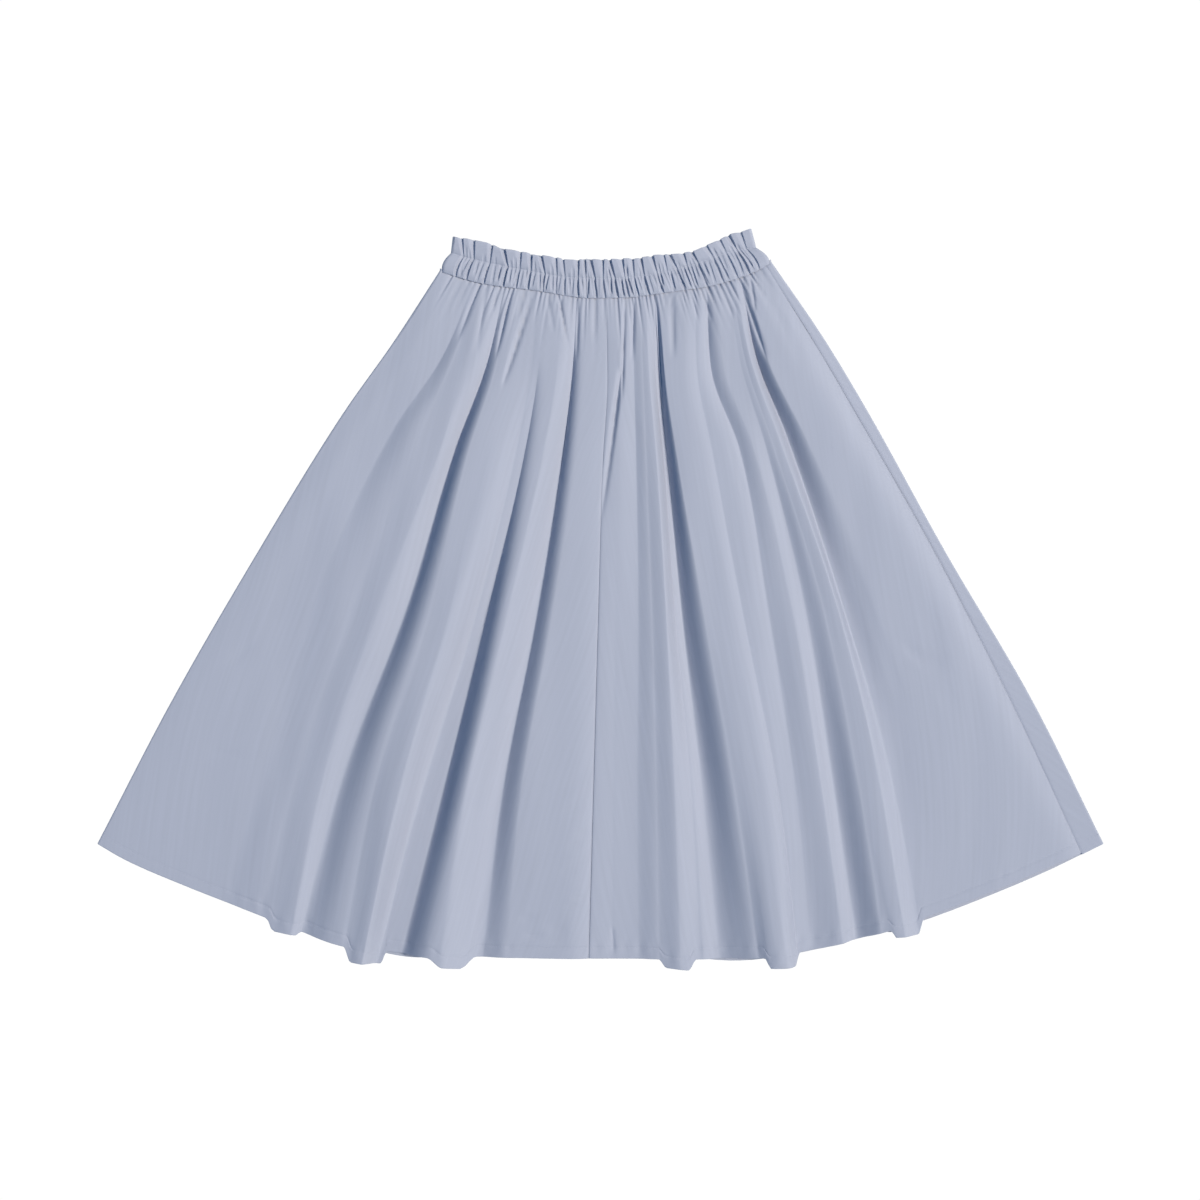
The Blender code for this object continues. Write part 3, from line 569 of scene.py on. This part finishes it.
def under_back(levels):
    """The back's underside from right to left: across and height."""
    lines = {fold.name: fold for fold in FRONT_FOLDS}
    radius = smooth(LEVELS, EDGE_HEIGHT, levels) / 2
    lift = BACK_GATHER * np.clip(1 - levels / BACK_GATHER_ENDS, 0, 1)
    lift = lift * np.clip(levels / BACK_GATHER_FULL, 0, 1)
    seam_in = np.maximum(radius, smooth(LEVELS, LEFT_SEAM_IN, levels))
    before = smooth(LEVELS, LEFT_EDGE, levels) + seam_in + BACK_SEAM_GAP
    xs, zs = [], []
    for flute in FLUTES:
        ends = lines[flute.start], lines[flute.end]
        middle = sum(smooth(LEVELS, line.across, levels) for line in ends) / 2
        half = smooth(LEVELS, flute.half, levels)
        lower = np.minimum(*(smooth(LEVELS, line.height, levels) for line in ends))
        room = np.clip(lower - BACK_ROOM, 0, None)
        height = room * smooth(LEVELS, flute.share, levels)
        for t in np.linspace(0, 1, FLAT_STEPS)[:-1]:
            xs.append(before + t * (middle - half - before))
            zs.append(lift * math.sin(math.pi * t) ** 2)
        for t in np.linspace(-1, 1, FLUTE_STEPS)[:-1]:
            xs.append(middle + half * t)
            zs.append(height * (math.cos(math.pi * t) / 2 + 0.5))
        before = middle + half
    last = smooth(LEVELS, RIGHT_EDGE, levels) - radius
    for t in np.linspace(0, 1, LAST_STEPS):
        xs.append(before + t * (last - before))
        zs.append(0 * levels)
    tucked = BACK_TUCK * np.exp(-np.clip(levels, 0, 1) * SKIRT_LENGTH / TUCK_REACH)
    return np.array(xs[::-1]).T, np.array([z + tucked for z in zs[::-1]]).T


turn_xs, turn_zs = side_turn(levels, 1)
under_xs, under_zs = under_back(levels)
back_xs = np.concatenate([xs[:, right_column:], turn_xs, under_xs[:, 1:]], axis=1)
back_zs = np.concatenate([zs[:, right_column:], turn_zs, under_zs[:, 1:]], axis=1)
back_points = seam_groove(laid_points(back_xs, back_zs, levels, back=1.0), 0)
back = cloth_piece("back_panel", turned_hem(back_points), cotton("cotton back"))
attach(back, "root")
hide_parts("back")

# The waistband
# One strip of the same cotton, folded double and stitched in two rows. The lower part is a casing
# drawn up by the flat elastic inside it, and the part above the upper row stands as a small frill.

STITCH_RAIL = ((-149, 346.5), (-120, 338.5), (-70.5, 328.6), (-29, 321.8), (11, 320.9), (47, 324.3),
               (94, 335.2), (131, 347.6), (156, 352))
FRILL_RAIL = ((-147, 362), (-124, 358.5), (-94, 350), (-64, 344.5), (-24, 339.5), (16, 339.5), (56, 343),
              (96, 348), (126, 361), (151, 370))
END_TURN = 3.2  # how far the strip's round ends take up

# Rows up the strip's outside: how far up from rail to rail, the height of the front half's crests,
# the wall, how deep a full gather is in front and behind, and how much of it the inner side follows.
Course = namedtuple("Course", "rail part crest wall groove back_groove through")
COURSES = (
    Course("casing", 0.00, 4.9, 1.5, 1.1, 0.6, 0.0),
    Course("casing", 0.07, 5.7, 2.5, 2.3, 0.7, 0.0),
    Course("casing", 0.22, 6.8, 3.7, 3.4, 1.1, 0.0),
    Course("casing", 0.50, 7.2, 4.0, 3.7, 1.2, 0.0),
    Course("casing", 0.78, 6.8, 3.7, 3.4, 1.1, 0.0),
    Course("casing", 0.93, 5.7, 2.5, 2.3, 0.8, 0.0),
    Course("stitch", 0.00, 5.0, 1.6, 1.3, 0.7, 0.0),
    Course("stitch", 0.07, 5.7, 1.7, 1.6, 0.9, 0.3),
    Course("stitch", 0.25, 6.9, 1.3, 2.5, 1.5, 1.0),
    Course("stitch", 0.55, 7.8, 1.2, 3.2, 1.9, 1.0),
    Course("stitch", 0.90, 8.6, 1.2, 3.9, 2.4, 1.0),
    Course("stitch", 1.00, 8.3, 0.7, 3.9, 2.4, 1.0),
)
COURSE_STEPS = 4  # rows from one course to the next
SEAM_LAP = 1.3  # how far the casing's lower edge laps over the skirt
END_BULGE = 3.0  # how far the casing's ends stand out halfway up
FINE_HALF = 1.5  # half the width of a fine crease
STEEP_HALF = 1.9  # of a gather's steep side
FLAT_FLOOR = 2.4  # 1 is a sharp crease, and more gives it a flat floor
LEE_HALF, LEE_GROWS = 1.6, 3.0  # of its other side at the stitching, and how much more at the edge
LEE_CURVE = 1.5  # above 1, that side falls away softly
FINE_SLANT = 2.2  # how far a fine crease may slant across the casing
FADE_IN, FADE_OUT = 0.2, 0.3  # the rows over which it appears and dies away


def fine_creases():
    """The casing's creases: place at the upper stitching, slant, depth, and where each fades, from 0 at
    the casing's lower edge through 1 at the upper stitching to 2 at the frill's edge."""
    spread = (STITCH_ENDS[1] - STITCH_ENDS[0]) / (CASING_ENDS[1] - CASING_ENDS[0])
    creases = []

    # The sines make each crease a little unlike the next.
    for i, (x, depth) in enumerate(casing_gathers()):
        middle = STITCH_ENDS[0] + spread * (x - CASING_ENDS[0])
        slant = FINE_SLANT * math.sin(1.9 * i + 0.4)
        begin = 0.35 * max(0, math.sin(3.1 * i + 1))
        end = 1.35 + 0.3 * math.sin(1.3 * i)
        creases.append((middle, slant, depth * (0.75 + 0.35 * math.sin(2.7 * i)), begin, end))
    return creases


def gather_profile(share, row, shift=0.0):
    """How deep the cloth lies at each share of the way across, in row 0 (the casing's lower edge) to 2
    (the frill's edge)."""
    place = STITCH_ENDS[0] + share * (STITCH_ENDS[1] - STITCH_ENDS[0]) + shift
    deep = np.zeros_like(place)
    for middle, slant, depth, begin, end in fine_creases():
        shown = np.clip((row - begin) / FADE_IN, 0, 1) * np.clip((end - row) / FADE_OUT, 0, 1)
        near = 1 - np.abs(place - middle - slant * (1 - min(row, 1))) / FINE_HALF
        deep = np.maximum(deep, depth * shown * np.clip(FLAT_FLOOR * near, 0, 1))
    lee = LEE_HALF + LEE_GROWS * max(0, row - 1)
    for gather in GATHERS:
        off = place - gather.across
        steep, soft = FLAT_FLOOR * (1 - off / STEEP_HALF), np.clip(1 + off / lee, 0, 1) ** LEE_CURVE
        deep = np.maximum(deep, gather.depth * np.clip(np.where(off > 0, steep, soft), 0, 1))
    return deep


END_PEAK = 0.5  # how far the frill's edge stands up at its ends
LAP_HALF = 0.9  # half the width of the step from one lap of the frill's edge to the next
LAP_SLOPE = 0.35  # how much of that step the lap's far end already takes


def frill_edge(share):
    """How far the frill slants at each share of the way across, and how far up it stands."""
    place = STITCH_ENDS[0] + share * (STITCH_ENDS[1] - STITCH_ENDS[0])
    stops = [STITCH_ENDS[0]] + [g.across for g in GATHERS] + [STITCH_ENDS[1]]
    slants = smooth(stops, [0] + [g.slant for g in GATHERS] + [0], place)
    peaks = [END_PEAK] + [g.peak for g in GATHERS]
    corners, ups = [], []
    for start, end, peak, before in zip(stops, stops[1:], peaks, [END_PEAK] + peaks):
        corners += [start + LAP_HALF, end - LAP_HALF]
        ups += [peak, peak + LAP_SLOPE * (before - peak)]
    return slants, np.interp(place, corners, ups)


END_POWER = 9  # with a higher power, less of the casing takes part in its ends' bulge
BACK_SLANT = -0.6  # of the frill's back, against its front
BACK_PEAK, BACK_PEAK_WAVE = 0.4, 1.1  # how far its back edge stands up, and how much that varies


def course_points(course, share, back=False):
    """A row of the waistband seen from above."""
    casing = CASING_ENDS[0] + share * (CASING_ENDS[1] - CASING_ENDS[0])
    stitch = STITCH_ENDS[0] + share * (STITCH_ENDS[1] - STITCH_ENDS[0])
    frill = FRILL_RAIL[0][0] + share * (FRILL_RAIL[-1][0] - FRILL_RAIL[0][0])
    if course.rail == "casing":
        outwards = END_BULGE * math.sin(math.pi * course.part) * (2 * share - 1) ** END_POWER
        casing, stitch = casing + outwards, stitch + outwards
        low = casing, along(WAIST_SEAM, casing) - SEAM_LAP
        high = stitch, along(STITCH_RAIL, stitch)
    else:
        slants, peaks = frill_edge(share)
        if back:
            slants = BACK_SLANT * slants
            peaks = BACK_PEAK + BACK_PEAK_WAVE * np.sin(37 * share) * np.sin(11 * share)
        low = stitch, along(STITCH_RAIL, stitch)
        high = frill + slants, along(FRILL_RAIL, frill) + peaks
    return [(1 - course.part) * a + course.part * b for a, b in zip(low, high)]


def between_courses():
    """All the rows up the strip, eased from each course to the next."""
    order = [float(c.part + (c.rail == "stitch")) for c in COURSES]
    rows = np.unique(np.concatenate([np.linspace(a, b, COURSE_STEPS + 1) for a, b in zip(order, order[1:])]))
    fields = [smooth(order, [getattr(c, name) for c in COURSES], rows) for name in Course._fields[2:]]
    courses = []
    for i, row in enumerate(rows):
        rail, part = ("casing", row) if row < 1 else ("stitch", row - 1)
        courses.append(Course(rail, part, *(float(field[i]) for field in fields)))
    return courses


FRONT_STEPS, BACK_STEPS, END_STEPS = 760, 300, 10  # along the front, the back and each round end
BACK_SHIFT = 3.3  # how far the gathers behind lie from those in front
GATHER_PULL = 0.8  # how far a gather draws the frill's edge down
END_LEAST = 0.4  # the least that the strip's inside keeps of its ends' round
inset = END_TURN / (STITCH_ENDS[1] - STITCH_ENDS[0])
outside, inside = [], []
for course in between_courses():
    row_number = course.part + (course.rail == "stitch")
    middle = course.crest / 2
    outer_row, inner_row = [], []
    for side, steps, groove, shift in (
        (1, FRONT_STEPS, course.groove, 0),
        (-1, BACK_STEPS, course.back_groove, BACK_SHIFT),
    ):
        share = inset + np.linspace(0, 1, steps)[::side] * (1 - 2 * inset)
        x, y = course_points(course, share, back=side < 0)
        deep = gather_profile(share, row_number, shift)
        y = y - GATHER_PULL * deep * max(0, row_number - 1)
        deep = deep * groove
        outer = middle + side * (middle - deep)
        inner = middle + side * (middle - course.wall - deep * course.through)
        end_x, end_y = (float(a) for a in course_points(course, np.array(max(side, 0.0))))
        root_x, root_y = float(x[-1]), float(y[-1])
        for row, z, inward in ((outer_row, outer, 0.0), (inner_row, inner, course.wall)):
            row += list(np.stack([x, y, z], axis=1))
            reach = side * max(END_LEAST, abs(end_x - root_x) - inward)
            for angle in np.radians(np.linspace(0, 180, END_STEPS + 2)[1:-1][::side]):
                row.append((
                    root_x + reach * math.sin(angle),
                    root_y + (end_y - root_y) * math.sin(angle),
                    middle + (middle - inward) * math.cos(angle),
                ))
    outside.append(outer_row)
    inside.append(inner_row)
band = (np.array(outside + inside[::-1]) + (*MIDDLE, 0)) * MM
loop = np.concatenate([band, band[:1]])
loop = np.concatenate([loop, loop[:, :1]], axis=1)[::-1]

# The strip is a closed loop with walls of its own, so it takes no thickness from a modifier.
waistband = cloth_piece("waistband_strip", loop, cotton("cotton waistband"))
waistband.modifiers.clear()
strip = bmesh.new()
strip.from_mesh(waistband.data)
bmesh.ops.remove_doubles(strip, verts=strip.verts, dist=1e-6)
bmesh.ops.recalc_face_normals(strip, faces=strip.faces)
strip.to_mesh(waistband.data)
strip.free()
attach(waistband, "root")
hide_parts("waistband")

# The stitching
# Cotton thread a shade lighter than the cloth. The hem is topstitched 10.5 mm above its edge, and two
# rows of shorter stitches hold the elastic's casing. Each stitch sinks into the cloth at both ends.

HEM_STITCH = (2.5, 3.3)  # length and pitch
CASING_STITCH = (1.5, 2.2)
THREAD_HALF = (0.22, 0.18)  # half a stitch's width and height
THREAD_LIFT = 0.2  # the least height of a stitch's middle
HANDFUL = 60  # stitches made at a time, because a large mesh takes each one slowly
THREAD_BLUE = (0.42, 0.45, 0.54)


def row_above_hem(points, distance):
    """The row of a panel that runs at a distance above its hem, and the cloth's normals there."""
    steps = np.linalg.norm(np.diff(points[::-1], axis=0, prepend=points[-1:]), axis=2).cumsum(axis=0)
    out, normals = [], facing(points)
    for c in range(points.shape[1]):
        row = len(points) - 1 - np.interp(distance, steps[:, c], np.arange(len(points)))
        low, part = int(row), row - int(row)
        high = min(low + 1, len(points) - 1)
        both = [(1 - part) * field[low, c] + part * field[high, c] for field in (points, normals)]
        out.append(both)
    out = np.array(out)
    return out[:, 0], out[:, 1]


def stitches(name, rows, sizes, material):
    """Rows of stitches as one piece: a small rounded thread at each, lying along its row."""
    length, pitch = (size * MM for size in sizes)
    places = []
    for path, normals in rows:
        run = np.linalg.norm(np.diff(path, axis=0, prepend=path[:1]), axis=1).cumsum()
        for middle in np.arange(pitch, run[-1] - pitch, pitch):
            start, end, at, up = (
                Vector([float(np.interp(place, run, field[:, k])) for k in range(3)])
                for place, field in (
                    (middle - length / 2, path),
                    (middle + length / 2, path),
                    (middle, path),
                    (middle, normals),
                )
            )
            way = (end - start).normalized()
            side = up.cross(way).normalized()
            up = way.cross(side)
            turn = Matrix((side, up, way)).transposed().to_4x4()
            at.z = max(at.z, THREAD_LIFT * MM)
            size = Matrix.Diagonal((THREAD_HALF[0] * MM, THREAD_HALF[1] * MM, length / 2, 1))
            places.append(Matrix.Translation(at) @ turn @ size)
    data = bpy.data.meshes.new(name)
    mesh = bmesh.new()
    for first in range(0, len(places), HANDFUL):
        handful, part = bpy.data.meshes.new("handful"), bmesh.new()
        for place in places[first : first + HANDFUL]:
            bmesh.ops.create_uvsphere(part, u_segments=6, v_segments=4, radius=1, matrix=place)
        part.to_mesh(handful)
        part.free()
        mesh.from_mesh(handful)
        bpy.data.meshes.remove(handful)
    for face in mesh.faces:
        face.smooth = True
    mesh.to_mesh(data)
    mesh.free()
    piece = bpy.data.objects.new(name, data)
    bpy.context.scene.collection.objects.link(piece)
    data.materials.append(material)
    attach(piece, "root")


def thread(name):
    """Twisted cotton thread: fine slanting plies on a soft sheen."""
    material = bpy.data.materials.new(name)
    material.use_nodes = True
    nodes, links = material.node_tree.nodes, material.node_tree.links
    shader = nodes["Principled BSDF"]
    shader.inputs["Base Color"].default_value = (*THREAD_BLUE, 1)
    shader.inputs["Roughness"].default_value = 0.6
    place = nodes.new("ShaderNodeTexCoord")
    plies = nodes.new("ShaderNodeTexWave")
    plies.bands_direction = "DIAGONAL"
    plies.inputs["Scale"].default_value = 900
    bump = nodes.new("ShaderNodeBump")
    bump.inputs["Strength"].default_value = 0.4
    bump.inputs["Distance"].default_value = 0.00005
    links.new(place.outputs["Object"], plies.inputs["Vector"])
    links.new(plies.outputs["Fac"], bump.inputs["Height"])
    links.new(bump.outputs["Normal"], shader.inputs["Normal"])
    return material


sewing = thread("sewing thread")
for name, points in (("left", left_points), ("right", right_points), ("back", back_points)):
    stitches(f"hem_stitches_{name}", [row_above_hem(points, HEM_STITCHING * MM)], HEM_STITCH, sewing)

# The casing's lower row lies just above its edge, and its upper row on the rail of the stitching.
lower_row = COURSE_STEPS - 1
upper_row = COURSE_STEPS * [course.rail for course in COURSES].index("stitch")
casing_rows = []
for row in (lower_row, upper_row):
    laid = (np.array(outside[row]) + (*MIDDLE, 0)) * MM
    for half, facing_up in ((laid[:FRONT_STEPS], 1.0), (laid[FRONT_STEPS + END_STEPS : -END_STEPS], -1.0)):
        casing_rows.append((half, np.tile((0.0, 0.0, facing_up), (len(half), 1))))
stitches("casing_stitches", casing_rows, CASING_STITCH, sewing)

# The surface, the light and the camera
# The skirt lies on a white light table, which shows no shadows. One soft, warm lamp far to the right
# models the folds, and blue light fills them. The camera looks straight down and sees white all round.

TABLE_HALF = 4  # metres
TABLE_BELOW = 0.3  # under the cloth, so that the two don't meet
mesh = bmesh.new()
bmesh.ops.create_grid(mesh, x_segments=1, y_segments=1, size=TABLE_HALF)
bmesh.ops.translate(mesh, verts=mesh.verts, vec=(0, 0, -TABLE_BELOW * MM))
floor_data = bpy.data.meshes.new("table")
mesh.to_mesh(floor_data)
mesh.free()
floor = bpy.data.objects.new("table", floor_data)
bpy.context.scene.collection.objects.link(floor)
glass = bpy.data.materials.new("lit white glass")
glass.use_nodes = True
surface = glass.node_tree.nodes["Principled BSDF"]
surface.inputs["Base Color"].default_value = (0, 0, 0, 1)
surface.inputs["Specular IOR Level"].default_value = 0
surface.inputs["Emission Color"].default_value = (1, 1, 1, 1)
surface.inputs["Emission Strength"].default_value = 1.02
floor_data.materials.append(glass)


def soft_light(name, place, aim, size, power, spread, colour):
    """A large soft disc of light that faces a point, with its beam kept within a spread."""
    data = bpy.data.lights.new(name, "AREA")
    data.shape = "DISK"
    data.size = size
    data.energy = power
    data.spread = math.radians(spread)
    data.color = colour
    light = bpy.data.objects.new(name, data)
    bpy.context.scene.collection.objects.link(light)
    light.location = place
    light.rotation_euler = (Vector(aim) - Vector(place)).to_track_quat("-Z", "Y").to_euler()


soft_light(
    "key", place=(11.6, 1.2, 18.6), aim=(0, 3, 0), size=5.2, power=740, spread=60, colour=(1, 0.92, 0.81)
)
world = bpy.data.worlds.new("white room")
bpy.context.scene.world = world
world.use_nodes = True
nodes, links = world.node_tree.nodes, world.node_tree.links
fill = nodes["Background"]
fill.inputs["Color"].default_value = (0.08, 0.44, 1, 1)
fill.inputs["Strength"].default_value = 0.28
paper = nodes.new("ShaderNodeBackground")  # what the camera sees behind the table
paper.inputs["Color"].default_value = (1, 1, 1, 1)
either, ray = nodes.new("ShaderNodeMixShader"), nodes.new("ShaderNodeLightPath")
links.new(ray.outputs["Is Camera Ray"], either.inputs["Fac"])
links.new(fill.outputs["Background"], either.inputs[1])
links.new(paper.outputs["Background"], either.inputs[2])
links.new(either.outputs["Shader"], nodes["World Output"].inputs["Surface"])

VIEW_WIDTH = 1.2  # metres, the photograph's side at the table: one pixel to the millimetre
CAMERA_HEIGHT = 2.4  # metres
camera_data = bpy.data.cameras.new("camera")
camera_data.sensor_width = 36
camera_data.lens = camera_data.sensor_width * CAMERA_HEIGHT / VIEW_WIDTH
camera = bpy.data.objects.new("camera", camera_data)
bpy.context.scene.collection.objects.link(camera)
camera.location = (MIDDLE[0] * MM, MIDDLE[1] * MM, CAMERA_HEIGHT)
bpy.context.scene.camera = camera
bpy.context.scene.view_settings.view_transform = "Standard"
